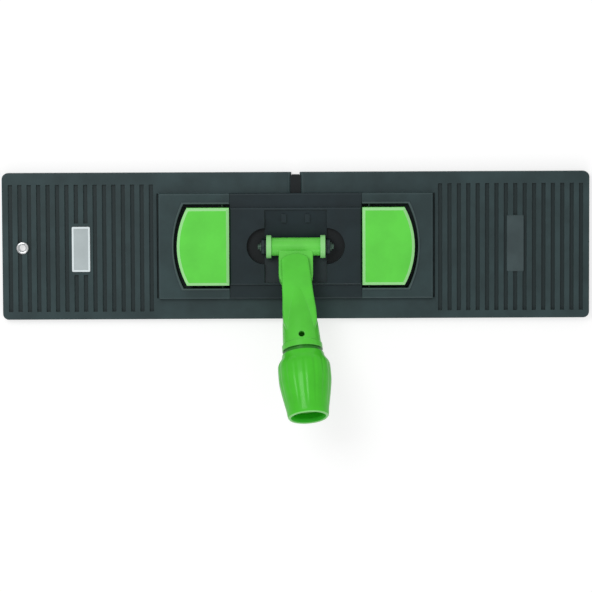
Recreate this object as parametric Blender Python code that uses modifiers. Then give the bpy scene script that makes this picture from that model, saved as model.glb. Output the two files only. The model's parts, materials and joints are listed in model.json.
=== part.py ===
"""Folding flat mop frame: two ribbed wings, a middle body, foot pedals and a jointed handle socket.

Metres. X runs along the frame, Y across it (the handle leans to -Y), Z is up.
The origin is the centre of the sole.
"""
import math

import bmesh
import bpy
from mathutils import Matrix, Vector

# ---- overall sizes ----
FRAME_LENGTH = 0.500
FRAME_WIDTH = 0.125
WING_THICKNESS = 0.008
CORNER_RADIUS = 0.005

# ---- clearances ----
GAP = 0.0003            # between faces that rest or slide on each other
PIN_CLEARANCE = 0.0001  # radial, in a pin's running hole

# ---- wings ----
WING_HINGE_X = 0.0075
WING_PIN_RADIUS = 0.0015
RIB_PITCH = 0.008
GROOVE_WIDTH = 0.0036
GROOVE_DEPTH = 0.0022
GROOVE_BACK_MARGIN = 0.010
GROOVE_FRONT_MARGIN = 0.0065
POCKET_WEB = 0.003
POCKET_ROOF = 0.0018
HINGE_LUG_Y = 0.029
HINGE_LUG_WIDTH = 0.010

# ---- middle body and pedal housings ----
BODY_HALF_LENGTH = 0.056
BODY_HALF_WIDTH = 0.045
BASE_TOP = WING_THICKNESS + 0.006
PANEL_TOP = BASE_TOP + 0.003
PANEL_HALF_WIDTH = 0.033
HOUSING_OUTER_X = 0.1167
EDGE_CHAMFER = 0.0012
SHADOW_GROOVE_WIDTH = 0.0016
SHADOW_GROOVE_DEPTH = 0.0022

# ---- pedals ----
PEDAL_OUTER_X = 0.101
PEDAL_CORNER_X = 0.0925
PEDAL_HALF_WIDTH = 0.033
PEDAL_BOTTOM = WING_THICKNESS + 0.0015
PEDAL_TOP = BASE_TOP + 0.0085
PEDAL_CHAMFER = 0.0024
PEDAL_WELL_GAP = 0.003
PEDAL_WELL_FLOOR = 0.002
PEDAL_WELL_LIP = 0.0014
PEDAL_WELL_LIP_HEIGHT = 0.0010
PEDAL_ROOF = 0.004
PEDAL_WALL = 0.0045
PEDAL_PIVOT_X = 0.0625
PEDAL_PIVOT_Z = 0.0062
PEDAL_BOSS_RADIUS = 0.0034
PEDAL_PIN_RADIUS = 0.0015
LATCH_HALF_WIDTH = 0.009
LATCH_BOTTOM = BASE_TOP + 0.001
LATCH_DEPTH = 0.0014
SPRING_X = 0.082
SPRING_RADIUS = 0.005
SPRING_WIRE_RADIUS = 0.0006
SPRING_TURNS = 6

# ---- universal joint ----
CROSS_PIN_Z = PANEL_TOP + 0.004
CROSS_PIN_RADIUS = 0.0026
CHANNEL_HALF_WIDTH = 0.0266
CHANNEL_HALF_LENGTH = 0.031
TROUGH_RADIUS = 0.0108
CHANNEL_RAMP_DROP = 0.002
EAR_THICKNESS = 0.0024
EAR_RADIUS = 0.0065
EAR_RECESS_RADIUS = 0.0154
STOP_RIB_X = 0.010
STOP_RIB_WIDTH = 0.004
STOP_RIB_Y = (0.020, 0.027)
STOP_RIB_TOP = PANEL_TOP - 0.001
WASHER_THICKNESS = 0.001
WASHER_RADIUS = 0.0058
CAP_RADIUS = 0.0042
CAP_LENGTH = 0.0032
BAR_RADIUS = 0.0077
FLANGE_RADIUS = 0.0098
FLANGE_THICKNESS = 0.0042
TONGUE_WIDTH = 0.029
TONGUE_THICKNESS = 0.010
SWIVEL_DISTANCE = 0.0255
SWIVEL_PIN_RADIUS = 0.0035
SWIVEL_HEAD_RADIUS = 0.006
SWIVEL_HEAD_LENGTH = 0.0016

# ---- handle ----
HANDLE_PITCH = math.radians(25)
HANDLE_LEAN = math.radians(4.5)
POLE_RADIUS = 0.012
POLE_CLEARANCE = 0.0003
FORK_THICKNESS = 0.022
CHEEK_WIDTH = 0.023
CHEEK_END_RADIUS = 0.0164
SHANK_START = 0.0125      # the handle's lengths run from the swivel pin
SHANK_WAIST = 0.0260
SHANK_THROAT = 0.0450
SHANK_THROAT_WALL = 0.0027
SHANK_END = 0.0620
SHANK_WALL = 0.0038
WEB_END = 0.0600
BORE_START = 0.0400
COLLAR_START = 0.0636
COLLAR_END = 0.0684
COLLAR_WALL = 0.0047
COLLET_END = 0.1190
COLLET_WALL = 0.0031
COLLET_TAPER = 0.016
COLLET_TIP_WALL = 0.0019
COLLET_SLIT_START = 0.0900
COLLET_SLIT_WIDTH = 0.0020
COLLET_SLITS = 4
DRAIN_HOLE_AT = 0.0585
DRAIN_HOLE_RADIUS = 0.0026
NUT_START = 0.0718
NUT_LENGTH = 0.0556
NUT_NECK_WALL = 0.0052
NUT_GRIP_WALL = 0.0099
NUT_FRONT_WALL = 0.0054
NUT_MOUTH_WALL = 0.00235

# ---- small trim ----
LABEL_SIZE = (0.0154, 0.0384)
LABEL_THICKNESS = 0.0006
LABEL_CENTRE = (0.067 - FRAME_LENGTH / 2, -0.0025)
PLAIN_PANELS = {-1: (-LABEL_CENTRE[0], LABEL_CENTRE[1], 0.0200, 0.0440),
                1: (FRAME_LENGTH / 2 - 0.063, 0.0012, 0.0145, 0.0480)}
EYELET_CENTRE = (0.0172 - FRAME_LENGTH / 2, -0.0012)
EYELET_RADIUS = 0.00535
EYELET_BORE = 0.0028
EYELET_WALL = 0.0007

PART_NAME = "flat_mop"

for old in list(bpy.data.objects):
    bpy.data.objects.remove(old, do_unlink=True)

parts = bpy.data.collections.new(PART_NAME)
cutters = bpy.data.collections.new("cutters")
bpy.context.scene.collection.children.link(parts)
bpy.context.scene.collection.children.link(cutters)


# ---- materials ----

def make_material(name, colour, roughness, metallic=0.0):
    material = bpy.data.materials.new(name)
    material.use_nodes = True
    shader = material.node_tree.nodes["Principled BSDF"]
    shader.inputs["Base Color"].default_value = (*colour, 1.0)
    shader.inputs["Roughness"].default_value = roughness
    shader.inputs["Metallic"].default_value = metallic
    return material


dark_plastic = make_material("dark_plastic", (0.036, 0.053, 0.057), 0.55)
body_plastic = make_material("body_plastic", (0.022, 0.033, 0.037), 0.50)
pedal_green = make_material("pedal_green", (0.130, 0.600, 0.075), 0.40)
handle_green = make_material("handle_green", (0.080, 0.530, 0.045), 0.35)
pin_steel = make_material("pin_steel", (0.560, 0.570, 0.580), 0.30, 1.0)
spring_steel = make_material("spring_steel", (0.450, 0.460, 0.480), 0.35, 1.0)
washer_plastic = make_material("washer_plastic", (0.700, 0.700, 0.680), 0.50)
label_film = make_material("label_film", (0.560, 0.620, 0.630), 0.60)
eyelet_metal = make_material("eyelet_metal", (0.700, 0.720, 0.730), 0.25, 1.0)


# ---- shape helpers ----

def add_object(name, mesh, collection):
    item = bpy.data.objects.new(name, mesh)
    collection.objects.link(item)
    return item


def box_mesh(name, low, high):
    """A box between two corners."""
    size = [top - bottom for bottom, top in zip(low, high)]
    middle = [(top + bottom) / 2 for bottom, top in zip(low, high)]
    shape = bmesh.new()
    bmesh.ops.create_cube(shape, size=1.0, matrix=Matrix.Translation(middle) @ Matrix.Diagonal((*size, 1.0)))
    return to_mesh(shape, name)


def cylinder_mesh(name, radius, start, end, sides=32, end_radius=None):
    """A round bar, or a cone when end_radius is given, between two points."""
    start, end = Vector(start), Vector(end)
    turn = Vector((0, 0, 1)).rotation_difference(end - start).to_matrix().to_4x4()
    shape = bmesh.new()
    bmesh.ops.create_cone(shape, cap_ends=True, segments=sides, radius1=radius,
                          radius2=radius if end_radius is None else end_radius,
                          depth=(end - start).length, matrix=Matrix.Translation((start + end) / 2) @ turn)
    return to_mesh(shape, name)


def to_mesh(shape, name):
    bmesh.ops.recalc_face_normals(shape, faces=shape.faces)
    mesh = bpy.data.meshes.new(name)
    shape.to_mesh(mesh)
    shape.free()
    return mesh


def lathe_mesh(name, profile, centre=(0.0, 0.0), closed=False, steps=32):
    """A profile of (radius, height) turned about an upright axis: its ends lie on the axis, or it's a closed ring."""
    shape = bmesh.new()
    spots = [shape.verts.new((radius, 0.0, height)) for radius, height in profile]
    edges = [shape.edges.new(pair) for pair in zip(spots, spots[1:])]
    if closed:
        edges.append(shape.edges.new((spots[-1], spots[0])))
    bmesh.ops.spin(shape, geom=spots + edges, cent=(0, 0, 0), axis=(0, 0, 1), angle=2 * math.pi, steps=steps)
    bmesh.ops.remove_doubles(shape, verts=shape.verts, dist=0.00001)
    bmesh.ops.translate(shape, verts=shape.verts, vec=(*centre, 0.0))
    return to_mesh(shape, name)


def bevel_edges(mesh, chosen, width, segments):
    """Bevels the sharp edges that chosen(start, end) accepts."""
    shape = bmesh.new()
    shape.from_mesh(mesh)
    edges = [edge for edge in shape.edges
             if edge.calc_face_angle() > 0.3 and chosen(edge.verts[0].co, edge.verts[1].co)]
    bmesh.ops.bevel(shape, geom=edges, offset=width, segments=segments, profile=0.5, affect='EDGES')
    shape.to_mesh(mesh)
    shape.free()
    return mesh


def outline_mesh(name, points, thickness, edge_bevel=0.0, bevel_steps=1):
    """A flat outline in X and Y, made solid to half its thickness each side of Z = 0."""
    curve = bpy.data.curves.new(name, 'CURVE')
    curve.dimensions = '2D'
    curve.fill_mode = 'BOTH'
    curve.extrude = thickness / 2 - edge_bevel
    curve.bevel_depth = edge_bevel
    curve.bevel_resolution = bevel_steps
    curve.offset = -edge_bevel
    spline = curve.splines.new('POLY')
    spline.points.add(len(points) - 1)
    spline.use_cyclic_u = True
    for spot, (x, y) in zip(spline.points, points):
        spot.co = (x, y, 0.0, 1.0)
    guide = add_object(name, curve, cutters)
    bpy.context.view_layer.update()
    mesh = bpy.data.meshes.new_from_object(guide.evaluated_get(bpy.context.evaluated_depsgraph_get()))
    bpy.data.objects.remove(guide, do_unlink=True)
    shape = bmesh.new()
    shape.from_mesh(mesh)
    bmesh.ops.remove_doubles(shape, verts=shape.verts, dist=0.00001)
    bmesh.ops.recalc_face_normals(shape, faces=shape.faces)
    shape.to_mesh(mesh)
    shape.free()
    return mesh


def arc(centre, radius, first, last, count):
    """Points along an arc, angles in radians."""
    steps = [first + (last - first) * i / (count - 1) for i in range(count)]
    return [(centre[0] + radius * math.cos(a), centre[1] + radius * math.sin(a)) for a in steps]


def part(name, mesh, material, parent=None, smooth=True):
    item = add_object(name, mesh, parts)
    item.parent = parent
    mesh.materials.clear()
    mesh.materials.append(material)
    if smooth:
        mesh.shade_smooth()
        mesh.set_sharp_from_angle(angle=math.radians(30))
    return item


def turned_part(name, profile, material, parent=None, steps=40, closed=True):
    """A profile of (radius, height) turned about the local Y axis: a ring, or open with its ends on the axis."""
    mesh = bpy.data.meshes.new(name)
    shape = bmesh.new()
    spots = [shape.verts.new((radius, height, 0.0)) for radius, height in profile]
    for spot, following in zip(spots, spots[1:]):
        shape.edges.new((spot, following))
    if closed:
        shape.edges.new((spots[-1], spots[0]))
    shape.to_mesh(mesh)
    shape.free()
    item = part(name, mesh, material, parent, smooth=False)
    screw = item.modifiers.new("turn", 'SCREW')
    screw.axis = 'Y'
    screw.steps = steps
    screw.render_steps = steps
    screw.use_merge_vertices = True
    screw.merge_threshold = 0.00001
    screw.use_normal_calculate = True
    return item


def combine(item, mesh, operation):
    """Adds or cuts a second shape, given in the item's own frame."""
    tool = add_object(mesh.name, mesh, cutters)
    tool.parent = item.parent
    tool.hide_render = True
    tool.display_type = 'WIRE'
    step = item.modifiers.new(mesh.name, 'BOOLEAN')
    step.operation = operation
    step.solver = 'EXACT'
    step.object = tool


def add(item, mesh):
    combine(item, mesh, 'UNION')


def cut(item, mesh):
    combine(item, mesh, 'DIFFERENCE')


def boxes_mesh(name, boxes):
    """Several separate boxes in one mesh."""
    shape = bmesh.new()
    for low, high in boxes:
        size = [top - bottom for bottom, top in zip(low, high)]
        middle = [(top + bottom) / 2 for bottom, top in zip(low, high)]
        bmesh.ops.create_cube(shape, size=1.0, matrix=Matrix.Translation(middle) @ Matrix.Diagonal((*size, 1.0)))
    return to_mesh(shape, name)


def span(side, inner, outer):
    """Lowest and highest X of a stretch given by its distances from the middle."""
    return (inner, outer) if side > 0 else (-outer, -inner)


def axle_empty(name, place, rotation=(0.0, 0.0, 0.0), parent=None):
    empty = bpy.data.objects.new(name, None)
    parts.objects.link(empty)
    empty.empty_display_size = 0.01
    empty.location = place
    empty.rotation_euler = rotation
    empty.parent = parent
    return empty


def moved(mesh, offset):
    mesh.transform(Matrix.Translation(-Vector(offset)))
    return mesh


# ---- middle body: it carries the universal joint and the wings' hinge lugs ----

hinge_z = WING_THICKNESS / 2
nose_radius = hinge_z - 0.0001
spine_half = WING_HINGE_X - WING_THICKNESS / 2 - GAP
spine_cap_half = spine_half + 0.0012
body_bottom = WING_THICKNESS + GAP
lug_half_x = WING_HINGE_X + nose_radius
ear_outer = CHANNEL_HALF_WIDTH + EAR_THICKNESS
spine_length = FRAME_WIDTH - 2 * 0.002


def pedal_outline(side, grow=0.0, inner=None):
    """D-shaped plan: straight towards the middle, a shallow arc outside."""
    half = PEDAL_HALF_WIDTH + grow
    corner = PEDAL_CORNER_X + grow
    rise = PEDAL_OUTER_X - PEDAL_CORNER_X
    radius = (half ** 2 + rise ** 2) / (2 * rise)
    centre = corner + rise - radius
    swing = math.asin(half / radius)
    points = [(inner, -half)] + arc((centre, 0.0), radius, -swing, swing, 17) + [(inner, half)]
    if side < 0:
        points = [(-x, y) for x, y in reversed(points)]
    return points


def make_centre_body():
    base = box_mesh("centre_body", (-BODY_HALF_LENGTH, -BODY_HALF_WIDTH, body_bottom),
                    (BODY_HALF_LENGTH, BODY_HALF_WIDTH, BASE_TOP))
    bevel_edges(base, lambda a, b: min(a.z, b.z) > BASE_TOP - GAP and abs(a.y - b.y) < GAP, EDGE_CHAMFER, 2)
    body = part("centre_body", base, body_plastic, smooth=False)
    panel = box_mesh("raised_panel", (-BODY_HALF_LENGTH, -PANEL_HALF_WIDTH, BASE_TOP - 0.002),
                     (BODY_HALF_LENGTH, PANEL_HALF_WIDTH, PANEL_TOP))
    bevel_edges(panel, lambda a, b: min(a.z, b.z) > PANEL_TOP - GAP, EDGE_CHAMFER, 2)
    add(body, panel)
    add(body, box_mesh("spine", (-spine_half, -spine_length / 2, 0.0),
                       (spine_half, spine_length / 2, WING_THICKNESS - 0.0004)))
    add(body, box_mesh("spine_cap", (-spine_cap_half, -spine_length / 2 + GAP, WING_THICKNESS - 0.0008),
                       (spine_cap_half, spine_length / 2 - GAP, WING_THICKNESS - 0.0002)))
    add(body, box_mesh("spine_root", (-spine_half + GAP, -BODY_HALF_WIDTH + 0.001, WING_THICKNESS - 0.001),
                       (spine_half - GAP, BODY_HALF_WIDTH - 0.001, body_bottom + 0.002)))
    for side in (-1, 1):
        low_y, high_y = side * HINGE_LUG_Y - HINGE_LUG_WIDTH / 2, side * HINGE_LUG_Y + HINGE_LUG_WIDTH / 2
        lug = box_mesh("hinge_lug", (-lug_half_x, low_y, 0.0001), (lug_half_x, high_y, body_bottom + 0.002))
        bevel_edges(lug, lambda a, b: max(a.z, b.z) < 0.001 and abs(a.x - b.x) < GAP, nose_radius - 0.0002, 6)
        add(body, lug)
    ramp_top = PANEL_TOP - CHANNEL_RAMP_DROP
    floor = arc((0.0, CROSS_PIN_Z), TROUGH_RADIUS, math.radians(-150), math.radians(-30), 17)
    section = [(-CHANNEL_HALF_LENGTH, ramp_top)] + [spot for spot in floor if spot[1] < ramp_top - 0.002]
    section += [(CHANNEL_HALF_LENGTH, ramp_top), (CHANNEL_HALF_LENGTH, 0.040), (-CHANNEL_HALF_LENGTH, 0.040)]
    channel = outline_mesh("joint_channel", section, 2 * CHANNEL_HALF_WIDTH)
    channel.transform(Matrix(((0, 0, 1, 0), (1, 0, 0, 0), (0, 1, 0, 0), (0, 0, 0, 1))))
    cut(body, channel)
    recess_floor = body_bottom + 0.002
    for side in (-1, 1):
        start = 0.0 if side > 0 else math.pi
        half_disc = arc((side * CHANNEL_HALF_WIDTH, 0.0), EAR_RECESS_RADIUS, start - math.pi / 2, start + math.pi / 2, 25)
        recess = outline_mesh("ear_recess", half_disc, 0.040 - recess_floor)
        recess.transform(Matrix.Translation((-side * 0.0002, 0, (0.040 + recess_floor) / 2)))
        cut(body, recess)
    for side in (-1, 1):
        low_x, high_x = span(side, CHANNEL_HALF_WIDTH, ear_outer)
        ear = outline_mesh("ear", [(-EAR_RADIUS, body_bottom + 0.001), (EAR_RADIUS, body_bottom + 0.001)]
                           + arc((0.0, CROSS_PIN_Z), EAR_RADIUS, 0.0, math.pi, 15), EAR_THICKNESS)
        ear.transform(Matrix(((0, 0, 1, (low_x + high_x) / 2), (1, 0, 0, 0), (0, 1, 0, 0), (0, 0, 0, 1))))
        add(body, ear)
    ribs = []
    for side_x in (-1, 1):
        for side_y in (-1, 1):
            low_x, high_x = span(side_x, STOP_RIB_X - STOP_RIB_WIDTH / 2, STOP_RIB_X + STOP_RIB_WIDTH / 2)
            low_y, high_y = span(side_y, *STOP_RIB_Y)
            ribs.append(((low_x, low_y, body_bottom + 0.003), (high_x, high_y, STOP_RIB_TOP)))
    add(body, boxes_mesh("stop_ribs", ribs))
    cut(body, cylinder_mesh("cross_pin_hole", CROSS_PIN_RADIUS + PIN_CLEARANCE,
                            (-ear_outer - 0.002, 0, CROSS_PIN_Z), (ear_outer + 0.002, 0, CROSS_PIN_Z), 24))
    for side in (-1, 1):
        cut(body, cylinder_mesh("wing_pin_hole", WING_PIN_RADIUS + PIN_CLEARANCE,
                                (side * WING_HINGE_X, -FRAME_WIDTH / 2 - 0.001, hinge_z),
                                (side * WING_HINGE_X, FRAME_WIDTH / 2 + 0.001, hinge_z), 20))
    return body


# ---- wings: ribbed plates that hinge on the middle body and carry the pedals ----

def make_wing(side, name, hinge):
    inner = WING_HINGE_X - WING_THICKNESS / 2
    outer = FRAME_LENGTH / 2
    half = FRAME_WIDTH / 2
    low_x, high_x = span(side, inner, outer)
    plate = box_mesh(name, (low_x, -half, 0.0), (high_x, half, WING_THICKNESS))
    bevel_edges(plate, lambda a, b: min(abs(a.x), abs(b.x)) > outer - GAP and abs(a.z - b.z) > GAP,
                CORNER_RADIUS, 6)
    bevel_edges(plate, lambda a, b: max(abs(a.x), abs(b.x)) < inner + GAP and abs(a.y - b.y) > half,
                nose_radius, 6)
    wing = part(name, moved(plate, hinge.location), dark_plastic, hinge, smooth=False)

    def shaped(mesh):
        return moved(mesh, hinge.location)

    housing_inner = BODY_HALF_LENGTH + GAP
    low_x, high_x = span(side, housing_inner, HOUSING_OUTER_X)
    housing = box_mesh("pedal_housing", (low_x, -BODY_HALF_WIDTH, WING_THICKNESS - 0.002),
                       (high_x, BODY_HALF_WIDTH, BASE_TOP))
    bevel_edges(housing, lambda a, b: min(a.z, b.z) > BASE_TOP - GAP
                and (abs(a.y - b.y) < GAP or min(abs(a.x), abs(b.x)) > housing_inner + GAP), EDGE_CHAMFER, 2)
    add(wing, shaped(housing))

    lip_top = BASE_TOP + PEDAL_WELL_LIP_HEIGHT
    lip_low = BASE_TOP - 0.001
    lip = outline_mesh("well_lip", pedal_outline(side, PEDAL_WELL_GAP + PEDAL_WELL_LIP, housing_inner + 0.0004),
                       lip_top - lip_low)
    lip.transform(Matrix.Translation((0, 0, (lip_top + lip_low) / 2)))
    add(wing, shaped(lip))
    well = outline_mesh("pedal_well", pedal_outline(side, PEDAL_WELL_GAP, housing_inner - 0.0006),
                        0.040 - PEDAL_WELL_FLOOR)
    well.transform(Matrix.Translation((0, 0, (0.040 + PEDAL_WELL_FLOOR) / 2)))
    cut(wing, shaped(well))
    low_x, high_x = span(side, HOUSING_OUTER_X + 0.0001, HOUSING_OUTER_X + SHADOW_GROOVE_WIDTH)
    groove_half = BODY_HALF_WIDTH - 0.0004
    cut(wing, shaped(box_mesh("shadow_groove", (low_x, -groove_half, WING_THICKNESS - SHADOW_GROOVE_DEPTH),
                              (high_x, groove_half, WING_THICKNESS + 0.002))))

    grooves = []
    first = outer - RIB_PITCH + 0.001
    rib_count = int((outer - HOUSING_OUTER_X - 0.003) / RIB_PITCH)
    for i in range(rib_count):
        middle = first - i * RIB_PITCH
        low_x, high_x = span(side, middle - GROOVE_WIDTH / 2, middle + GROOVE_WIDTH / 2)
        grooves.append(((low_x, -half + GROOVE_FRONT_MARGIN, WING_THICKNESS - GROOVE_DEPTH),
                        (high_x, half - GROOVE_BACK_MARGIN, WING_THICKNESS + 0.002)))
    cut(wing, shaped(boxes_mesh("rib_grooves", grooves)))
    panel_x, panel_y, panel_length, panel_width = PLAIN_PANELS[side]
    low_x, high_x = span(side, panel_x - panel_length / 2, panel_x + panel_length / 2)
    add(wing, shaped(box_mesh("plain_panel", (low_x, panel_y - panel_width / 2, WING_THICKNESS - 0.003),
                              (high_x, panel_y + panel_width / 2, WING_THICKNESS - 0.0001))))

    lug_low, lug_high = HINGE_LUG_WIDTH / 2 + GAP, WING_HINGE_X + nose_radius + 0.0008
    low_x, high_x = span(side, inner - 0.001, lug_high)
    cut(wing, shaped(boxes_mesh("lug_notches", [((low_x, place - lug_low, -0.001), (high_x, place + lug_low, 0.010))
                                                for place in (-HINGE_LUG_Y, HINGE_LUG_Y)])))

    pocket_top = WING_THICKNESS - GROOVE_DEPTH - POCKET_ROOF
    columns = [(0.0155, 0.0535)]
    width = (outer - 0.004 - HOUSING_OUTER_X - 0.004 + POCKET_WEB) / 5
    for i in range(5):
        start = HOUSING_OUTER_X + 0.004 + i * width
        columns.append((start, start + width - POCKET_WEB))
    rows = [(-half + 0.004 + i * (FRAME_WIDTH - 0.008 + POCKET_WEB) / 3,
             -half + 0.004 + (i + 1) * (FRAME_WIDTH - 0.008 + POCKET_WEB) / 3 - POCKET_WEB) for i in range(3)]
    pockets = []
    for column_low, column_high in columns:
        for row_low, row_high in rows:
            low_x, high_x = span(side, column_low, column_high)
            pockets.append(((low_x, row_low, -0.001), (high_x, row_high, pocket_top)))
    cut(wing, shaped(boxes_mesh("sole_pockets", pockets)))

    cut(wing, shaped(cylinder_mesh("wing_pin_hole", WING_PIN_RADIUS + PIN_CLEARANCE,
                                   (side * WING_HINGE_X, -half - 0.001, hinge_z),
                                   (side * WING_HINGE_X, half + 0.001, hinge_z), 20)))
    cut(wing, shaped(cylinder_mesh("pedal_pin_hole", PEDAL_PIN_RADIUS + PIN_CLEARANCE,
                                   (side * PEDAL_PIVOT_X, -BODY_HALF_WIDTH - 0.001, PEDAL_PIVOT_Z),
                                   (side * PEDAL_PIVOT_X, BODY_HALF_WIDTH + 0.001, PEDAL_PIVOT_Z), 20)))
    if side < 0:
        cut(wing, shaped(cylinder_mesh("eyelet_hole", EYELET_BORE + EYELET_WALL + PIN_CLEARANCE,
                                       (*EYELET_CENTRE, -0.001), (*EYELET_CENTRE, 0.010), 24)))
    return wing


# ---- foot pedals, their pivots and return springs ----

def make_pedal(side, name, pivot):
    inner = BODY_HALF_LENGTH + 2 * GAP
    top = outline_mesh(name, pedal_outline(side, 0.0, inner), PEDAL_TOP - PEDAL_BOTTOM, PEDAL_CHAMFER, 0)
    top.transform(Matrix.Translation((0, 0, (PEDAL_TOP + PEDAL_BOTTOM) / 2)))
    pedal = part(name, moved(top, pivot.location), pedal_green, pivot, smooth=False)

    def shaped(mesh):
        return moved(mesh, pivot.location)

    low_x, high_x = span(side, PEDAL_PIVOT_X + 0.004, PEDAL_CORNER_X - PEDAL_WALL + 0.004)
    half = PEDAL_HALF_WIDTH - PEDAL_WALL
    cut(pedal, shaped(box_mesh("pedal_hollow", (low_x, -half, PEDAL_BOTTOM - 0.001),
                               (high_x, half, PEDAL_TOP - PEDAL_ROOF))))
    boss_half = PEDAL_HALF_WIDTH - 0.001
    low_x, high_x = span(side, PEDAL_PIVOT_X - 0.0025, PEDAL_PIVOT_X + 0.0030)
    add(pedal, shaped(box_mesh("boss_web", (low_x, -boss_half + 0.0005, PEDAL_PIVOT_Z),
                               (high_x, boss_half - 0.0005, PEDAL_BOTTOM + 0.002))))
    add(pedal, shaped(cylinder_mesh("pivot_boss", PEDAL_BOSS_RADIUS, (side * PEDAL_PIVOT_X, -boss_half, PEDAL_PIVOT_Z),
                                    (side * PEDAL_PIVOT_X, boss_half, PEDAL_PIVOT_Z), 28)))
    notches = []
    for end in (-1, 1):
        low_x, high_x = span(side, inner - 0.001, inner + LATCH_DEPTH)
        low_y, high_y = span(end, LATCH_HALF_WIDTH, PEDAL_HALF_WIDTH + 0.001)
        notches.append(((low_x, low_y, PEDAL_BOTTOM - 0.001), (high_x, high_y, LATCH_BOTTOM)))
    cut(pedal, shaped(boxes_mesh("latch_reliefs", notches)))
    cut(pedal, shaped(cylinder_mesh("pedal_pin_hole", PEDAL_PIN_RADIUS + PIN_CLEARANCE,
                                    (side * PEDAL_PIVOT_X, -PEDAL_HALF_WIDTH - 0.001, PEDAL_PIVOT_Z),
                                    (side * PEDAL_PIVOT_X, PEDAL_HALF_WIDTH + 0.001, PEDAL_PIVOT_Z), 20)))
    return pedal


def make_spring(side, name):
    """Compression coil between the well's floor and the pedal's underside."""
    bottom = PEDAL_WELL_FLOOR + GAP + SPRING_WIRE_RADIUS
    top = PEDAL_TOP - PEDAL_ROOF - GAP - SPRING_WIRE_RADIUS
    points_a_turn = 14
    count = SPRING_TURNS * points_a_turn
    curve = bpy.data.curves.new(name, 'CURVE')
    curve.dimensions = '3D'
    curve.bevel_depth = SPRING_WIRE_RADIUS
    curve.bevel_resolution = 1
    curve.use_fill_caps = True
    spline = curve.splines.new('POLY')
    spline.points.add(count)
    for i, spot in enumerate(spline.points):
        angle = 2 * math.pi * i / points_a_turn
        spot.co = (side * SPRING_X + SPRING_RADIUS * math.cos(angle), SPRING_RADIUS * math.sin(angle),
                   bottom + (top - bottom) * i / count, 1.0)
    spring = add_object(name, curve, parts)
    curve.materials.append(spring_steel)
    return spring


# ---- build the frame ----

make_centre_body()
for side, word in ((-1, "left"), (1, "right")):
    wing_axle = axle_empty("wing_axle_" + word, (side * WING_HINGE_X, 0, hinge_z))
    make_wing(side, "wing_" + word, wing_axle)
    part("wing_hinge_pin_" + word,
         cylinder_mesh("wing_hinge_pin_" + word, WING_PIN_RADIUS,
                       (side * WING_HINGE_X, -FRAME_WIDTH / 2 + 0.001, hinge_z),
                       (side * WING_HINGE_X, FRAME_WIDTH / 2 - 0.001, hinge_z), 16), pin_steel)
    pedal_axle = axle_empty("pedal_axle_" + word, (side * PEDAL_PIVOT_X, 0, PEDAL_PIVOT_Z))
    make_pedal(side, "pedal_" + word, pedal_axle)
    part("pedal_pin_" + word,
         cylinder_mesh("pedal_pin_" + word, PEDAL_PIN_RADIUS,
                       (side * PEDAL_PIVOT_X, -BODY_HALF_WIDTH + 0.001, PEDAL_PIVOT_Z),
                       (side * PEDAL_PIVOT_X, BODY_HALF_WIDTH - 0.001, PEDAL_PIVOT_Z), 16), pin_steel)
    make_spring(side, "pedal_spring_" + word)


# ---- universal joint: cross, its pin, washers and caps ----

bar_half = CHANNEL_HALF_WIDTH - WASHER_THICKNESS - 2 * GAP
cap_start = ear_outer + GAP
pin_half = ear_outer + CAP_LENGTH

part("cross_pin", cylinder_mesh("cross_pin", CROSS_PIN_RADIUS, (-pin_half, 0, CROSS_PIN_Z),
                                (pin_half, 0, CROSS_PIN_Z), 24), pin_steel)
for side, word in ((-1, "left"), (1, "right")):
    start = side * (bar_half + GAP)
    washer = part("cross_washer_" + word,
                  cylinder_mesh("cross_washer_" + word, WASHER_RADIUS, (start, 0, CROSS_PIN_Z),
                                (start + side * WASHER_THICKNESS, 0, CROSS_PIN_Z), 28), washer_plastic)
    cut(washer, cylinder_mesh("washer_hole", CROSS_PIN_RADIUS + PIN_CLEARANCE, (start - side * 0.001, 0, CROSS_PIN_Z),
                              (start + side * 0.003, 0, CROSS_PIN_Z), 24))
    cap = part("cross_pin_ring_" + word,
               cylinder_mesh("cross_pin_ring_" + word, CAP_RADIUS, (side * cap_start, 0, CROSS_PIN_Z),
                             (side * (cap_start + 0.0010), 0, CROSS_PIN_Z), 24), pin_steel)
    cut(cap, cylinder_mesh("ring_hole", CROSS_PIN_RADIUS + PIN_CLEARANCE, (side * (cap_start - 0.001), 0, CROSS_PIN_Z),
                           (side * (cap_start + 0.004), 0, CROSS_PIN_Z), 24))

pitch_axle = axle_empty("pitch_axle", (0, 0, CROSS_PIN_Z), (HANDLE_PITCH, 0, math.pi))
swivel_axle = axle_empty("swivel_axle", (0, SWIVEL_DISTANCE, 0), (0, 0, HANDLE_LEAN), pitch_axle)

cross = part("joint_cross", cylinder_mesh("joint_cross", BAR_RADIUS, (-bar_half, 0, 0), (bar_half, 0, 0), 40),
             pedal_green, pitch_axle, smooth=False)
for side in (-1, 1):
    add(cross, cylinder_mesh("cross_flange", FLANGE_RADIUS, (side * (bar_half - FLANGE_THICKNESS), 0, 0),
                             (side * bar_half, 0, 0), 40))
tongue_points = [(TONGUE_WIDTH / 2, 0.0)] + arc((0.0, SWIVEL_DISTANCE), TONGUE_WIDTH / 2, 0.0, math.pi, 21)
tongue_points += [(-TONGUE_WIDTH / 2, 0.0)]
add(cross, outline_mesh("cross_tongue", tongue_points, TONGUE_THICKNESS, 0.001))
cut(cross, cylinder_mesh("cross_bore", CROSS_PIN_RADIUS + PIN_CLEARANCE, (-bar_half - 0.001, 0, 0),
                         (bar_half + 0.001, 0, 0), 24))
cut(cross, cylinder_mesh("swivel_bore", SWIVEL_PIN_RADIUS + PIN_CLEARANCE, (0, SWIVEL_DISTANCE, -TONGUE_THICKNESS),
                         (0, SWIVEL_DISTANCE, TONGUE_THICKNESS), 28))


# ---- handle socket: fork, shank and slotted collet in one moulding ----

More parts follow.
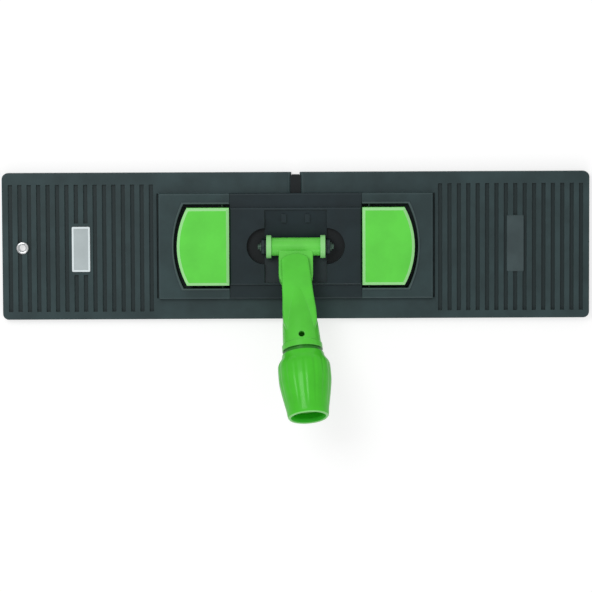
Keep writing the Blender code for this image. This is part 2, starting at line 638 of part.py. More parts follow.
pole_bore = POLE_RADIUS + POLE_CLEARANCE
collet_radius = pole_bore + COLLET_WALL
collet_tip = pole_bore + COLLET_TIP_WALL
throat = pole_bore + SHANK_THROAT_WALL
collar = pole_bore + COLLAR_WALL
socket_profile = [(0.0, SHANK_START), (FORK_THICKNESS / 2 - 0.0002, SHANK_START),
                  ((FORK_THICKNESS / 2 + throat) / 2 - 0.0006, SHANK_WAIST), (throat, SHANK_THROAT),
                  (pole_bore + SHANK_WALL, SHANK_END), (collar, COLLAR_START), (collar, COLLAR_END),
                  (collet_radius, COLLAR_END + 0.0004), (collet_radius, COLLET_END - COLLET_TAPER),
                  (collet_tip, COLLET_END), (0.0, COLLET_END)]
socket = turned_part("handle_socket", socket_profile, handle_green, swivel_axle, closed=False)
side_start = math.asin(CHEEK_WIDTH / 2 / CHEEK_END_RADIUS)
fork_points = arc((0.0, 0.0), CHEEK_END_RADIUS, -math.pi / 2 - side_start, -math.pi / 2 + side_start, 13)
fork_side = [(throat - 0.0018, 0.0225), (throat - 0.0008, 0.0340), (throat - 0.0008, SHANK_THROAT),
             (throat - 0.0055, WEB_END)]
fork_points += fork_side + [(-x, y) for x, y in reversed(fork_side)]
add(socket, outline_mesh("fork", fork_points, FORK_THICKNESS, 0.0018, 2))
cut(socket, cylinder_mesh("pole_bore", pole_bore, (0, BORE_START, 0), (0, COLLET_END + 0.002, 0), 40))
slot_half = TONGUE_WIDTH / 2 + 0.0008
slot_points = arc((0.0, 0.0), slot_half, 0.0, math.pi, 21) + [(-slot_half, -0.030), (slot_half, -0.030)]
cut(socket, outline_mesh("fork_slot", slot_points, TONGUE_THICKNESS + 2 * GAP))
swivel_top = FORK_THICKNESS / 2 - 0.0025
cut(socket, cylinder_mesh("drain_hole", DRAIN_HOLE_RADIUS, (0, DRAIN_HOLE_AT, POLE_RADIUS / 2),
                          (0, DRAIN_HOLE_AT, 0.025), 20))
for i in range(COLLET_SLITS // 2):
    slit = box_mesh("collet_slit", (-0.020, COLLET_SLIT_START, -COLLET_SLIT_WIDTH / 2),
                    (0.020, COLLET_END + 0.002, COLLET_SLIT_WIDTH / 2))
    slit.transform(Matrix.Rotation(math.radians(45) + math.pi * i / 2, 4, 'Y'))
    cut(socket, slit)

fork_low = -FORK_THICKNESS / 2
head_top = fork_low + SWIVEL_HEAD_LENGTH
cut(socket, lathe_mesh("swivel_hole", [
    (0.0, fork_low - 0.001), (SWIVEL_HEAD_RADIUS + GAP, fork_low - 0.001), (SWIVEL_HEAD_RADIUS + GAP, head_top + GAP),
    (SWIVEL_PIN_RADIUS + PIN_CLEARANCE, head_top + GAP), (SWIVEL_PIN_RADIUS + PIN_CLEARANCE, swivel_top),
    (0.0, swivel_top)]))
part("swivel_pin", lathe_mesh("swivel_pin", [
    (0.0, fork_low), (SWIVEL_HEAD_RADIUS, fork_low), (SWIVEL_HEAD_RADIUS, head_top), (SWIVEL_PIN_RADIUS, head_top),
    (SWIVEL_PIN_RADIUS, swivel_top - GAP), (0.0, swivel_top - GAP)]), pin_steel, swivel_axle)

# ---- clamp nut: it draws the collet in on the pole ----

nut_end = NUT_START + NUT_LENGTH
nut_bore = collet_radius + 2 * GAP
nut_cone = collet_tip + 2 * GAP
nut_neck = pole_bore + NUT_NECK_WALL
nut_grip = pole_bore + NUT_GRIP_WALL
nut_front = pole_bore + NUT_FRONT_WALL
nut_mouth = pole_bore + NUT_MOUTH_WALL
nut_profile = [(nut_neck, NUT_START), (nut_neck + 0.0004, NUT_START + 0.003), (nut_grip - 0.0012, NUT_START + 0.008),
               (nut_grip, NUT_START + 0.012), (nut_grip, NUT_START + 0.024), (nut_grip - 0.0009, NUT_START + 0.030),
               (nut_front, nut_end - 0.006), (nut_front - 0.0012, nut_end), (nut_mouth, nut_end),
               (nut_mouth - 0.0012, nut_end - 0.004), (nut_cone, COLLET_END), (nut_bore, COLLET_END - COLLET_TAPER),
               (nut_bore, NUT_START)]
turned_part("clamp_nut", nut_profile, handle_green, swivel_axle)

# ---- blank label plate and hanging eyelet on the left wing ----

label_low = (LABEL_CENTRE[0] - LABEL_SIZE[0] / 2, LABEL_CENTRE[1] - LABEL_SIZE[1] / 2,
             WING_THICKNESS - 0.0001 + GAP)
label_high = (LABEL_CENTRE[0] + LABEL_SIZE[0] / 2, LABEL_CENTRE[1] + LABEL_SIZE[1] / 2,
              WING_THICKNESS - 0.0001 + GAP + LABEL_THICKNESS)
part("blank_label", box_mesh("blank_label", label_low, label_high), label_film, smooth=False)

rim_low = WING_THICKNESS + GAP
barrel_radius = EYELET_BORE + EYELET_WALL
rim_arc = arc(((EYELET_RADIUS + EYELET_BORE) / 2, rim_low), (EYELET_RADIUS - EYELET_BORE) / 2, 0.0, math.pi, 9)
part("hanging_eyelet", lathe_mesh("hanging_eyelet", [(EYELET_BORE, GAP), (barrel_radius, GAP),
                                                     (barrel_radius, rim_low)] + rim_arc,
                                  EYELET_CENTRE, closed=True, steps=36), eyelet_metal)
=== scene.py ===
import json
import math

import bmesh
import bpy
from mathutils import Matrix, Vector


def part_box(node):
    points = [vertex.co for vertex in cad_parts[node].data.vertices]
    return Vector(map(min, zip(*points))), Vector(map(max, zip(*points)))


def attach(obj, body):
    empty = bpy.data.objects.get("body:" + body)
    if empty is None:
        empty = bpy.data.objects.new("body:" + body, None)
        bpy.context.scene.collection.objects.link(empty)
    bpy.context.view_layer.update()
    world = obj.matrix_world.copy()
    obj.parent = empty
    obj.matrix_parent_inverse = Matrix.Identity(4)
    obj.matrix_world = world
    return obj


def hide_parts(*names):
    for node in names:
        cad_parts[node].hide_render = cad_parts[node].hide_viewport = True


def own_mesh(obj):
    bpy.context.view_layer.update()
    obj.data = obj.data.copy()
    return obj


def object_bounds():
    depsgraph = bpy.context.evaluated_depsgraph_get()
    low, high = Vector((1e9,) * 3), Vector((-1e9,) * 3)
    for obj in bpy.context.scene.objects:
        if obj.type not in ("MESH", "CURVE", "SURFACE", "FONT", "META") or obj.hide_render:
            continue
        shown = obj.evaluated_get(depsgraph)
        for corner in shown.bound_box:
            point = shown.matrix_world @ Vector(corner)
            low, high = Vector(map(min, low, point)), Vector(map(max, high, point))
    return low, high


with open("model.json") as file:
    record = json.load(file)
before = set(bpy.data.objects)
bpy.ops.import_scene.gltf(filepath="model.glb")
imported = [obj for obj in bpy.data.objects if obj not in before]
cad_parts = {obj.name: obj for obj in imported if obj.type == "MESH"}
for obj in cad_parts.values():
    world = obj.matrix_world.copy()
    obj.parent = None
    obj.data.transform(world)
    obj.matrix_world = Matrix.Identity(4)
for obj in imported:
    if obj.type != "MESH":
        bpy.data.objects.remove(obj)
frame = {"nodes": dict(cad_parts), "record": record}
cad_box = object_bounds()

# ---- Camera, floor and light ----
# The frame lies on a plain white table and is seen from almost straight above, a few degrees from behind.
# Light comes from a wide soft lamp overhead, with the pale room all round it.

VIEW_WIDTH = 0.505          # metres of the frame's plane across the picture
VIEW_DISTANCE = 3.0
VIEW_TILT = math.radians(5.0)
VIEW_ROLL = math.radians(0.25)
VIEW_CENTRE = Vector((0.0, -0.0432, 0.008))
SENSOR = 36.0

camera_data = bpy.data.cameras.new("camera")
camera_data.sensor_width = SENSOR
camera_data.lens = SENSOR * VIEW_DISTANCE / VIEW_WIDTH
camera_data.clip_end = 20.0
camera = bpy.data.objects.new("camera", camera_data)
bpy.context.scene.collection.objects.link(camera)
back = Vector((0.0, math.sin(VIEW_TILT), math.cos(VIEW_TILT)))
up = Vector((0.0, math.cos(VIEW_TILT), -math.sin(VIEW_TILT)))
upright = Matrix((up.cross(back), up, back)).transposed().to_4x4()
camera.matrix_world = Matrix.Translation(VIEW_CENTRE + back * VIEW_DISTANCE) @ upright @ Matrix.Rotation(
    -VIEW_ROLL, 4, "Z")
bpy.context.scene.camera = camera
bpy.context.scene.view_settings.view_transform = "Standard"


def add_lamp(name, place, size, power):
    """A square soft box that faces the middle of the frame."""
    lamp = bpy.data.lights.new(name, "AREA")
    lamp.size = size
    lamp.energy = power
    holder = bpy.data.objects.new(name, lamp)
    holder.location = place
    holder.rotation_euler = (Vector((0.0, -0.03, 0.0)) - Vector(place)).to_track_quat("-Z", "Y").to_euler()
    bpy.context.scene.collection.objects.link(holder)


add_lamp("key_lamp", (-0.50, 0.55, 1.40), 0.6, 6.9)
add_lamp("front_lamp", (0.25, -1.3, 0.95), 0.6, 3.2)

FLOOR_GREY = 0.46
FLOOR_LIFT = 0.62           # white of the table that the picture sees, above what the lamps give
floor_material = bpy.data.materials.new("white_table")
floor_material.use_nodes = True
tree = floor_material.node_tree
tree.nodes.remove(tree.nodes["Principled BSDF"])
paint = tree.nodes.new("ShaderNodeBsdfDiffuse")
paint.inputs["Color"].default_value = (FLOOR_GREY, FLOOR_GREY, FLOOR_GREY, 1.0)
lift = tree.nodes.new("ShaderNodeEmission")
rays = tree.nodes.new("ShaderNodeLightPath")
seen = tree.nodes.new("ShaderNodeMath")
seen.operation = "MAXIMUM"
through = tree.nodes.new("ShaderNodeMath")
through.operation = "MAXIMUM"
strength = tree.nodes.new("ShaderNodeMath")
strength.operation = "MULTIPLY"
strength.inputs[1].default_value = FLOOR_LIFT
both = tree.nodes.new("ShaderNodeAddShader")
tree.links.new(rays.outputs["Is Camera Ray"], seen.inputs[0])
tree.links.new(rays.outputs["Is Glossy Ray"], seen.inputs[1])
tree.links.new(seen.outputs[0], through.inputs[0])
tree.links.new(rays.outputs["Is Transmission Ray"], through.inputs[1])
tree.links.new(through.outputs[0], strength.inputs[0])
tree.links.new(strength.outputs[0], lift.inputs["Strength"])
tree.links.new(paint.outputs[0], both.inputs[0])
tree.links.new(lift.outputs[0], both.inputs[1])
tree.links.new(both.outputs[0], tree.nodes["Material Output"].inputs["Surface"])
bpy.ops.mesh.primitive_plane_add(size=12.0, location=(0.0, 0.0, -0.0002))
floor = bpy.context.object
floor.name = "table_top"
floor.data.materials.append(floor_material)

world = bpy.data.worlds.new("pale_room")
bpy.context.scene.world = world
world.use_nodes = True
room = world.node_tree.nodes["Background"]
room.inputs["Color"].default_value = (1.0, 1.0, 1.0, 1.0)
room.inputs["Strength"].default_value = 0.60

# ---- Wings ----
# Two long injection-moulded polypropylene plates, dark grey-green, with fine cross ribs on top and a
# raised housing for the pedal. They meet beside the middle body's spine and hinge on long steel pins.

WING_COLOUR = (0.0275, 0.0510, 0.0540)
# Paler colour for scuffed edges, also used for painted highlights on chamfers, edges and lip tops.
WING_WEAR_AND_HIGHLIGHT = (0.075, 0.112, 0.114)
WING_SHADE_BELOW = 0.0070    # level faces under this height, in the grooves, the pedal wells and the shadow line, get painted shade
WING_LIP_ABOVE = 0.0146     # the lip round each pedal's well stands over this one, and its top gets a painted highlight
GLOSS = 0.28                # specular level of all the mouldings


def moulded_plastic(name, colour, wear_and_highlight, roughness, grain=0.10, grain_size=1400.0, blotch=0.16, coat=0.0,
                    soft_edge=0.0006, chamfer_highlight=0.0, shade_below=0.0, shade_share=0.5, highlight_above=1.0):
    """Moulded plastic: cloudy colour, a fine spark-eroded grain, and edges painted paler in patches, partly scuffs
    and partly painted highlight.

    Sloping chamfers get a painted highlight in the paler colour, as strong as the chamfer argument asks. Level faces
    under the shade height are darkened as painted shade, and those over the highlight height get a painted highlight.
    """
    material = bpy.data.materials.new(name)
    material.use_nodes = True
    nodes, links = material.node_tree.nodes, material.node_tree.links
    shader = nodes["Principled BSDF"]
    shader.inputs["Coat Weight"].default_value = coat
    shader.inputs["Coat Roughness"].default_value = 0.12
    shader.inputs["Specular IOR Level"].default_value = GLOSS
    place = nodes.new("ShaderNodeTexCoord")

    def noise(scale, detail, rough=0.55):
        node = nodes.new("ShaderNodeTexNoise")
        node.inputs["Scale"].default_value = scale
        node.inputs["Detail"].default_value = detail
        node.inputs["Roughness"].default_value = rough
        links.new(place.outputs["Object"], node.inputs["Vector"])
        return node.outputs["Fac"]

    def spread(source, low, high, to_low, to_high):
        node = nodes.new("ShaderNodeMapRange")
        node.inputs["From Min"].default_value = low
        node.inputs["From Max"].default_value = high
        node.inputs["To Min"].default_value = to_low
        node.inputs["To Max"].default_value = to_high
        links.new(source, node.inputs["Value"])
        return node.outputs["Result"]

    def mix(factor, first, second):
        node = nodes.new("ShaderNodeMix")
        node.data_type = "RGBA"
        links.new(factor, node.inputs[0])
        for socket, value in ((node.inputs[6], first), (node.inputs[7], second)):
            if isinstance(value, tuple):
                socket.default_value = (*value, 1.0)
            else:
                links.new(value, socket)
        return node.outputs[2]

    def times(first, second):
        node = nodes.new("ShaderNodeMath")
        node.operation = "MULTIPLY"
        for socket, value in zip(node.inputs, (first, second)):
            if isinstance(value, float):
                socket.default_value = value
            else:
                links.new(value, socket)
        return node.outputs[0]

    darker = tuple(c * (1 - blotch) for c in colour)
    lighter = tuple(c * (1 + blotch) for c in colour)
    cloudy = mix(spread(noise(38.0, 4.0), 0.35, 0.65, 0.0, 1.0), darker, lighter)
    spot = nodes.new("ShaderNodeSeparateXYZ")
    links.new(place.outputs["Object"], spot.inputs[0])
    slope = nodes.new("ShaderNodeSeparateXYZ")
    links.new(place.outputs["Normal"], slope.inputs[0])
    level = spread(slope.outputs["Z"], 0.86, 0.95, 0.0, 1.0)
    # Painted shade: level faces below the given height are darkened towards a share of the colour.
    if shade_below > 0.0:
        painted_shade_mask = times(spread(spot.outputs["Z"], shade_below, shade_below - 0.0008, 0.0, 1.0), level)
        cloudy = mix(painted_shade_mask, cloudy, tuple(c * shade_share for c in colour))
    # Painted highlight: level faces above the given height are painted towards the paler colour.
    if highlight_above < 1.0:
        painted_highlight_mask = times(spread(spot.outputs["Z"], highlight_above, highlight_above + 0.0003, 0.0, 0.7), level)
        cloudy = mix(painted_highlight_mask, cloudy, wear_and_highlight)
    # Painted highlight: sloping chamfers are painted towards the paler colour.
    if chamfer_highlight > 0.0:
        painted_chamfer_highlight = times(spread(slope.outputs["Z"], 0.35, 0.55, 0.0, chamfer_highlight),
                        spread(slope.outputs["Z"], 0.97, 0.90, 0.0, 1.0))
        cloudy = mix(painted_chamfer_highlight, cloudy, wear_and_highlight)
    rounded = nodes.new("ShaderNodeBevel")
    rounded.samples = 4
    rounded.inputs["Radius"].default_value = soft_edge
    flat = nodes.new("ShaderNodeNewGeometry")
    turn = nodes.new("ShaderNodeVectorMath")
    turn.operation = "DOT_PRODUCT"
    links.new(rounded.outputs["Normal"], turn.inputs[0])
    links.new(flat.outputs["Normal"], turn.inputs[1])
    edge = spread(turn.outputs["Value"], 0.99, 0.80, 0.0, 1.0)
    # Edges are painted paler in patches, partly scuffs and partly painted highlight.
    edge_scuff_and_highlight = times(edge, spread(noise(160.0, 3.0), 0.40, 0.65, 0.35, 1.0))
    links.new(mix(edge_scuff_and_highlight, cloudy, wear_and_highlight), shader.inputs["Base Color"])
    links.new(spread(noise(90.0, 5.0), 0.3, 0.7, roughness - 0.07, roughness + 0.09),
              shader.inputs["Roughness"])
    bump = nodes.new("ShaderNodeBump")
    bump.inputs["Strength"].default_value = grain
    bump.inputs["Distance"].default_value = 0.0002
    links.new(noise(grain_size, 2.0), bump.inputs["Height"])
    links.new(rounded.outputs["Normal"], bump.inputs["Normal"])
    links.new(bump.outputs["Normal"], shader.inputs["Normal"])
    return material


def finish_node(node, material):
    """Gives a CAD piece its finish."""
    piece = frame["nodes"][node]
    for place in piece.material_slots:
        place.material = material


wing_plastic = moulded_plastic("wing_plastic", WING_COLOUR, WING_WEAR_AND_HIGHLIGHT, 0.46, chamfer_highlight=0.45,
                               shade_below=WING_SHADE_BELOW, shade_share=0.62, highlight_above=WING_LIP_ABOVE)
for node in ("wing_left", "wing_right"):
    finish_node(node, wing_plastic)

# ---- Smooth panel ----
# A thin smooth inlay, flush with the ribs, pressed into the bare place that the ribs leave on the
# right wing. It is the same plastic, a little paler and glossier, and carries nothing.

PANEL_SIZE = (0.0141, 0.0476)
PANEL_FROM_END = 0.063      # from the frame's right end to the panel's centre
PANEL_PLACE = (cad_box[1][0] - PANEL_FROM_END, 0.0012)
PANEL_Z = (0.00794, 0.00806)
shape = bmesh.new()
bmesh.ops.create_cube(shape, size=1.0, matrix=Matrix.Translation((*PANEL_PLACE, sum(PANEL_Z) / 2))
                      @ Matrix.Diagonal((*PANEL_SIZE, PANEL_Z[1] - PANEL_Z[0], 1.0)))
corner_edges = [edge for edge in shape.edges if abs(edge.verts[0].co.z - edge.verts[1].co.z) > 0.00005]
bmesh.ops.bevel(shape, geom=corner_edges, offset=0.0010, segments=5, profile=0.5, affect="EDGES")
bmesh.ops.recalc_face_normals(shape, faces=shape.faces)
panel_mesh = bpy.data.meshes.new("smooth_panel")
shape.to_mesh(panel_mesh)
shape.free()
panel_mesh.materials.append(moulded_plastic("panel_plastic", (0.052, 0.078, 0.082), WING_WEAR_AND_HIGHLIGHT, 0.36,
                                            grain=0.04))
smooth_panel = bpy.data.objects.new("smooth_panel", panel_mesh)
bpy.context.scene.collection.objects.link(smooth_panel)
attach(smooth_panel, "right_wing")

# ---- Middle body ----
# A darker moulding over the two wings' inner ends, with the joint's channel, ears and round recesses.
# It drops between the wings as a thin spine and holds the wing pins in four lugs.

BODY_COLOUR = (0.0095, 0.0205, 0.0250)
# Paler colour for scuffed edges, also used for painted highlights on chamfers and edges.
BODY_WEAR_AND_HIGHLIGHT = (0.050, 0.070, 0.075)
BODY_SHADE_BELOW = 0.0118    # level faces under this height, in the round recesses, the channel's bottom and the spine, get painted shade
body_plastic = moulded_plastic("body_plastic", BODY_COLOUR, BODY_WEAR_AND_HIGHLIGHT, 0.42, chamfer_highlight=0.35,
                               shade_below=BODY_SHADE_BELOW, shade_share=0.35)
finish_node("centre_body", body_plastic)

# ---- Pins, rings and springs ----
# Drawn steel bars, blackened at the cross and darkened at the pedals as painted shade of their gaps, with
# push-on rings and plastic washers, and bright music-wire coils under the pedals. Fine drawn lines run along the
# bars.


def drawn_metal(name, colour, roughness, stretch):
    """Drawn or rolled metal with fine lines, stretched along one axis."""
    material = bpy.data.materials.new(name)
    material.use_nodes = True
    nodes, links = material.node_tree.nodes, material.node_tree.links
    shader = nodes["Principled BSDF"]
    shader.inputs["Metallic"].default_value = 1.0
    place = nodes.new("ShaderNodeTexCoord")
    scale = nodes.new("ShaderNodeMapping")
    scale.inputs["Scale"].default_value = stretch
    lines = nodes.new("ShaderNodeTexNoise")
    lines.inputs["Scale"].default_value = 220.0
    lines.inputs["Detail"].default_value = 5.0
    tint = nodes.new("ShaderNodeValToRGB")
    tint.color_ramp.elements[0].position = 0.3
    tint.color_ramp.elements[0].color = (*[c * 0.72 for c in colour], 1.0)
    tint.color_ramp.elements[1].position = 0.7
    tint.color_ramp.elements[1].color = (*colour, 1.0)
    shine = nodes.new("ShaderNodeMapRange")
    shine.inputs["To Min"].default_value = roughness - 0.08
    shine.inputs["To Max"].default_value = roughness + 0.12
    bump = nodes.new("ShaderNodeBump")
    bump.inputs["Strength"].default_value = 0.15
    bump.inputs["Distance"].default_value = 0.0001
    links.new(place.outputs["Object"], scale.inputs["Vector"])
    links.new(scale.outputs["Vector"], lines.inputs["Vector"])
    links.new(lines.outputs["Fac"], tint.inputs["Fac"])
    links.new(lines.outputs["Fac"], shine.inputs["Value"])
    links.new(lines.outputs["Fac"], bump.inputs["Height"])
    links.new(tint.outputs["Color"], shader.inputs["Base Color"])
    links.new(shine.outputs["Result"], shader.inputs["Roughness"])
    links.new(bump.outputs["Normal"], shader.inputs["Normal"])
    return material


pin_steel = drawn_metal("pin_steel", (0.56, 0.57, 0.58), 0.30, (8.0, 1.0, 1.0))
black_and_shaded_steel = drawn_metal("black_and_shaded_steel", (0.075, 0.125, 0.095), 0.42, (8.0, 1.0, 1.0))
spring_steel = drawn_metal("spring_steel", (0.45, 0.46, 0.48), 0.34, (1.0, 1.0, 3.0))
for node in ("wing_hinge_pin_left", "wing_hinge_pin_right", "swivel_pin"):
    finish_node(node, pin_steel)
# Painted shade: the pedal pins are made dark for the dark gap they sit in.
for node in ("pedal_pin_left", "pedal_pin_right", "cross_pin", "cross_pin_ring_left", "cross_pin_ring_right"):
    finish_node(node, black_and_shaded_steel)
washer_plastic = moulded_plastic("washer_plastic", (0.030, 0.044, 0.045), BODY_WEAR_AND_HIGHLIGHT, 0.40, grain=0.05)
for node in ("cross_washer_left", "cross_washer_right"):
    finish_node(node, washer_plastic)

WIRE_RADIUS = 0.0006
SPRING_TURNS = 6
SPRING_STEPS = 28           # rings of wire in one turn
WIRE_SIDES = 12
END_CLOSING = 0.04          # share of the coil's height by which its end turns are drawn in


def coil_mesh(name, low, high):
    """A wire coil that fills the box between two corners, with its end turns drawn in."""
    middle = (low + high) / 2
    reach = (high.x - low.x) / 2 - WIRE_RADIUS
    bottom, top = low.z + WIRE_RADIUS, high.z - WIRE_RADIUS
    shape = bmesh.new()
    rings = []
    count = SPRING_TURNS * SPRING_STEPS
    for i in range(count + 1):
        angle = 2 * math.pi * i / SPRING_STEPS
        outward = Vector((math.cos(angle), math.sin(angle), 0.0))
        ends = min(i, count - i) / SPRING_STEPS
        lift = i / count if ends >= 1.0 else i / count - math.copysign((1.0 - ends) ** 2, count / 2 - i) * END_CLOSING
        lift = min(1.0, max(0.0, lift))
        centre = Vector((middle.x, middle.y, bottom + (top - bottom) * lift)) + outward * reach
        rings.append([shape.verts.new(centre + outward * WIRE_RADIUS * math.cos(turn)
                                      + Vector((0.0, 0.0, WIRE_RADIUS * math.sin(turn))))
                      for turn in (2 * math.pi * j / WIRE_SIDES for j in range(WIRE_SIDES))])
    for ring, following in zip(rings, rings[1:]):
        for j in range(WIRE_SIDES):
            k = (j + 1) % WIRE_SIDES
            shape.faces.new((ring[j], ring[k], following[k], following[j]))
    shape.faces.new(rings[0])
    shape.faces.new(list(reversed(rings[-1])))
    bmesh.ops.recalc_face_normals(shape, faces=shape.faces)
    mesh = bpy.data.meshes.new(name)
    shape.to_mesh(mesh)
    shape.free()
    mesh.shade_smooth()
    mesh.set_sharp_from_angle(angle=math.radians(40))
    return mesh


for word in ("left", "right"):
    low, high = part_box("pedal_spring_" + word)
    coil = bpy.data.objects.new("spring_coil_" + word, coil_mesh("spring_coil_" + word, low, high))
    coil.data.materials.append(spring_steel)
    bpy.context.scene.collection.objects.link(coil)
    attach(coil, word + "_wing")
    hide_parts("pedal_spring_" + word)
    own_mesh(coil)

# ---- Pedals ----
# Bright green moulded foot pads, D-shaped, with a wide chamfer all round the top.
# Each rocks on a steel pin near the middle body, over a coil spring.

PEDAL_COLOUR = (0.122, 0.700, 0.064)
PEDAL_WEAR_AND_HIGHLIGHT = (0.400, 0.900, 0.345)
# The pedals' chamfers get a full painted highlight, and their edges are painted paler, partly as painted highlight.
pedal_plastic = moulded_plastic("pedal_plastic", PEDAL_COLOUR, PEDAL_WEAR_AND_HIGHLIGHT, 0.38, grain=0.08, blotch=0.06,
                                coat=0.1, chamfer_highlight=1.0)
for node in ("pedal_left", "pedal_right"):
    finish_node(node, pedal_plastic)

# ---- Joint cross and handle socket ----
# Tough green mouldings: the cross tilts on its pin between the ears, and the socket's fork swivels on
# the cross's tongue. The shank widens to a collar and ends in a slotted collet under the nut.

HANDLE_COLOUR = (0.096, 0.640, 0.044)
# Paler colour for the edges of the cross, socket and nut, partly scuffs and partly painted highlight.
HANDLE_WEAR_AND_HIGHLIGHT = (0.260, 0.740, 0.210)
CROSS_COLOUR = (0.140, 0.680, 0.080)
CROSS_FLANGE_HIGHLIGHT = (0.290, 0.720, 0.250)
NECK_SHADE_COLOUR = (0.026, 0.260, 0.014)
FLANGE_THICKNESS = 0.0042
NECK = (0.0683, 0.0722)     # from the swivel pin along the handle, between collar and nut
nut_joint = next(joint for joint in frame["record"]["behaviour"]["joints"] if joint["name"] == "nut_turn")
nut_axis = Vector(nut_joint["axis"]).normalized()
nut_base = Vector(nut_joint["pos_m"])


def paint_stretch(material, base, axis, start, end, colour):
    """Colours one stretch of a moulding, between two distances from base along axis."""
    nodes, links = material.node_tree.nodes, material.node_tree.links
    shader = nodes["Principled BSDF"]
    under = shader.inputs["Base Color"].links[0].from_socket
    place = nodes.new("ShaderNodeTexCoord")
    along = nodes.new("ShaderNodeVectorMath")
    along.operation = "DOT_PRODUCT"
    along.inputs[1].default_value = axis
    inside = nodes.new("ShaderNodeMath")
    inside.operation = "COMPARE"
    inside.inputs[1].default_value = base.dot(axis) + (start + end) / 2
    inside.inputs[2].default_value = (end - start) / 2
    over = nodes.new("ShaderNodeMix")
    over.data_type = "RGBA"
    over.inputs[7].default_value = (*colour, 1.0)
    links.new(place.outputs["Object"], along.inputs[0])
    links.new(along.outputs["Value"], inside.inputs[0])
    links.new(inside.outputs[0], over.inputs[0])
    links.new(under, over.inputs[6])
    links.new(over.outputs[2], shader.inputs["Base Color"])


cross_plastic = moulded_plastic("cross_plastic", CROSS_COLOUR, HANDLE_WEAR_AND_HIGHLIGHT, 0.34, grain=0.06, blotch=0.06,
                                coat=0.1)
cross_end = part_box("joint_cross")[1].x
# Painted highlight: the flanges at the cross's ends are painted paler.
for way in (-1.0, 1.0):
    paint_stretch(cross_plastic, Vector((0.0, 0.0, 0.0)), Vector((way, 0.0, 0.0)), cross_end - FLANGE_THICKNESS,
                  cross_end + 0.001, CROSS_FLANGE_HIGHLIGHT)
finish_node("joint_cross", cross_plastic)
handle_plastic = moulded_plastic("handle_plastic", HANDLE_COLOUR, HANDLE_WEAR_AND_HIGHLIGHT, 0.34, grain=0.06, blotch=0.07,
                                 coat=0.1, soft_edge=0.0015)
# Painted shade: the neck between collar and nut is painted dark, for the shade in that groove.
paint_stretch(handle_plastic, nut_base, nut_axis, *NECK, NECK_SHADE_COLOUR)
finish_node("handle_socket", handle_plastic)

# ---- Clamp nut ----
# A hollow green nut with shallow finger flutes, turned by hand to squeeze the collet on the pole.
# Its open mouth takes the pole, and its inside is painted a little darker, as painted shade.

NUT_COLOUR = (0.062, 0.580, 0.020)
NUT_BORE_SHADE_COLOUR = (0.026, 0.560, 0.010)
NUT_SIDES = 192
NUT_FLUTES = 16
NUT_FLUTE_DEPTH = 0.0004
NUT_START = 0.0718          # the nut's lengths run from the swivel pin
NUT_END = NUT_START + 0.0556
NUT_OUTSIDE = [(0.0175, 0.0, 0.0), (0.0178, 0.0008, 0.0), (0.0181, 0.003, 0.0), (0.0197, 0.0055, 0.2),
               (0.0211, 0.0078, 0.7), (0.0219, 0.0100, 1.0), (0.02215, 0.0125, 1.0), (0.0222, 0.0160, 1.0),
               (0.0222, 0.0205, 1.0), (0.0221, 0.0240, 1.0), (0.0218, 0.0270, 1.0), (0.0213, 0.0300, 1.0),
               (0.0203, 0.0360, 0.9), (0.0192, 0.0420, 0.7), (0.0182, 0.0470, 0.3), (0.0177, 0.0500, 0.0),
               (0.0175, 0.0525, 0.0), (0.0171, 0.0545, 0.0), (0.0163, 0.0556, 0.0)]
NUT_INSIDE = [(0.0151, 0.0556, 0.0), (0.01465, 0.0550, 0.0), (0.0140, 0.0530, 0.0), (0.0136, 0.0515, 0.0),
              (0.0149, 0.0470, 0.0), (0.0160, 0.0312, 0.0), (0.0160, 0.0, 0.0)]

nut_side = nut_axis.cross(Vector((1.0, 0.0, 0.0))).normalized()
nut_place = Matrix((nut_side.cross(nut_axis), nut_side, nut_axis)).transposed().to_4x4()
nut_place.translation = nut_base

nut_mesh = bpy.data.meshes.new("clamp_nut_fluted")
shape = bmesh.new()
rings = []
for radius, height, fluting in NUT_OUTSIDE + NUT_INSIDE:
    ring = []
    for i in range(NUT_SIDES):
        angle = 2 * math.pi * i / NUT_SIDES
        dip = max(0.0, math.cos(NUT_FLUTES * angle)) ** 2
        reach = radius - NUT_FLUTE_DEPTH * fluting * dip
        ring.append(shape.verts.new((reach * math.cos(angle), reach * math.sin(angle), NUT_START + height)))
    rings.append(ring)
for place, (ring, following) in enumerate(zip(rings, rings[1:] + rings[:1])):
    for i in range(NUT_SIDES):
        j = (i + 1) % NUT_SIDES
        face = shape.faces.new((ring[i], ring[j], following[j], following[i]))
        face.material_index = int(place > len(NUT_OUTSIDE))
bmesh.ops.recalc_face_normals(shape, faces=shape.faces)
bmesh.ops.transform(shape, matrix=nut_place, verts=shape.verts)
shape.to_mesh(nut_mesh)
shape.free()
nut_mesh.shade_smooth()
nut_mesh.set_sharp_from_angle(angle=math.radians(40))
nut_plastic = moulded_plastic("nut_plastic", NUT_COLOUR, HANDLE_WEAR_AND_HIGHLIGHT, 0.34, grain=0.06, blotch=0.07, coat=0.1)
paint_stretch(nut_plastic, nut_base, nut_axis, NUT_END - 0.0008, NUT_END + 0.001, HANDLE_WEAR_AND_HIGHLIGHT)
nut_mesh.materials.append(nut_plastic)
# Painted shade: the nut's inside faces get a darker, deeper green.
nut_mesh.materials.append(moulded_plastic("nut_bore_shaded_plastic", NUT_BORE_SHADE_COLOUR, HANDLE_COLOUR, 0.50, grain=0.08,
                                          blotch=0.10))
nut = bpy.data.objects.new("clamp_nut_fluted", nut_mesh)
bpy.context.scene.collection.objects.link(nut)
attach(nut, "nut")
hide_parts("clamp_nut")

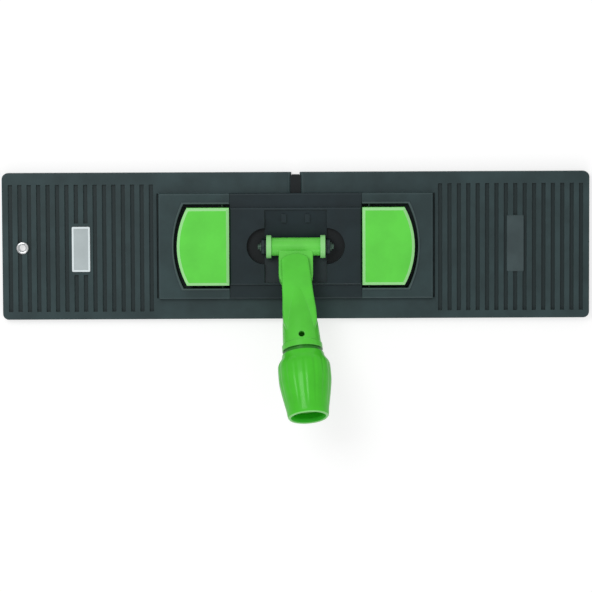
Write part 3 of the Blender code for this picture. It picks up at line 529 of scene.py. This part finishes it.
# ---- Label plate ----
# A blank pale film label on the left wing: a bright border round a slightly sunk grey field.
# It carries nothing.

LABEL_BORDER = 0.0022
LABEL_SINK = 0.00015
low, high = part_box("blank_label")
shape = bmesh.new()
bmesh.ops.create_cube(shape, size=1.0, matrix=Matrix.Translation((low + high) / 2)
                      @ Matrix.Diagonal((*(high - low), 1.0)))
top_face = max(shape.faces, key=lambda face: face.calc_center_median().z)
bmesh.ops.inset_region(shape, faces=[top_face], thickness=LABEL_BORDER)
field = bmesh.ops.extrude_face_region(shape, geom=[top_face])["geom"]
field_faces = [item for item in field if isinstance(item, bmesh.types.BMFace)]
if top_face.is_valid:
    shape.faces.remove(top_face)
bmesh.ops.translate(shape, verts=[item for item in field if isinstance(item, bmesh.types.BMVert)],
                    vec=(0.0, 0.0, -LABEL_SINK))
upright_edges = [edge for edge in shape.edges
                 if abs(edge.verts[0].co.z - edge.verts[1].co.z) > (high.z - low.z) / 2]
bmesh.ops.bevel(shape, geom=upright_edges, offset=0.0010, segments=4, profile=0.5, affect="EDGES")
for face in field_faces:
    face.material_index = 1
bmesh.ops.recalc_face_normals(shape, faces=shape.faces)
label_mesh = bpy.data.meshes.new("label_plate")
shape.to_mesh(label_mesh)
shape.free()
label_mesh.materials.append(moulded_plastic("label_border", (0.78, 0.86, 0.88), (0.86, 0.90, 0.91), 0.50,
                                            grain=0.04, blotch=0.05))
label_mesh.materials.append(moulded_plastic("label_field", (0.45, 0.51, 0.52), (0.60, 0.66, 0.66), 0.50,
                                            grain=0.06, blotch=0.07))
label = bpy.data.objects.new("label_plate", label_mesh)
bpy.context.scene.collection.objects.link(label)
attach(label, "left_wing")
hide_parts("blank_label")

# ---- Hanging eyelet ----
# A bright rolled eyelet through the left wing, by which the frame hangs on a hook.
# Its flange is domed and its barrel runs to the sole.

eyelet_metal = drawn_metal("eyelet_metal", (0.78, 0.80, 0.81), 0.28, (1.0, 1.0, 1.0))
finish_node("hanging_eyelet", eyelet_metal)
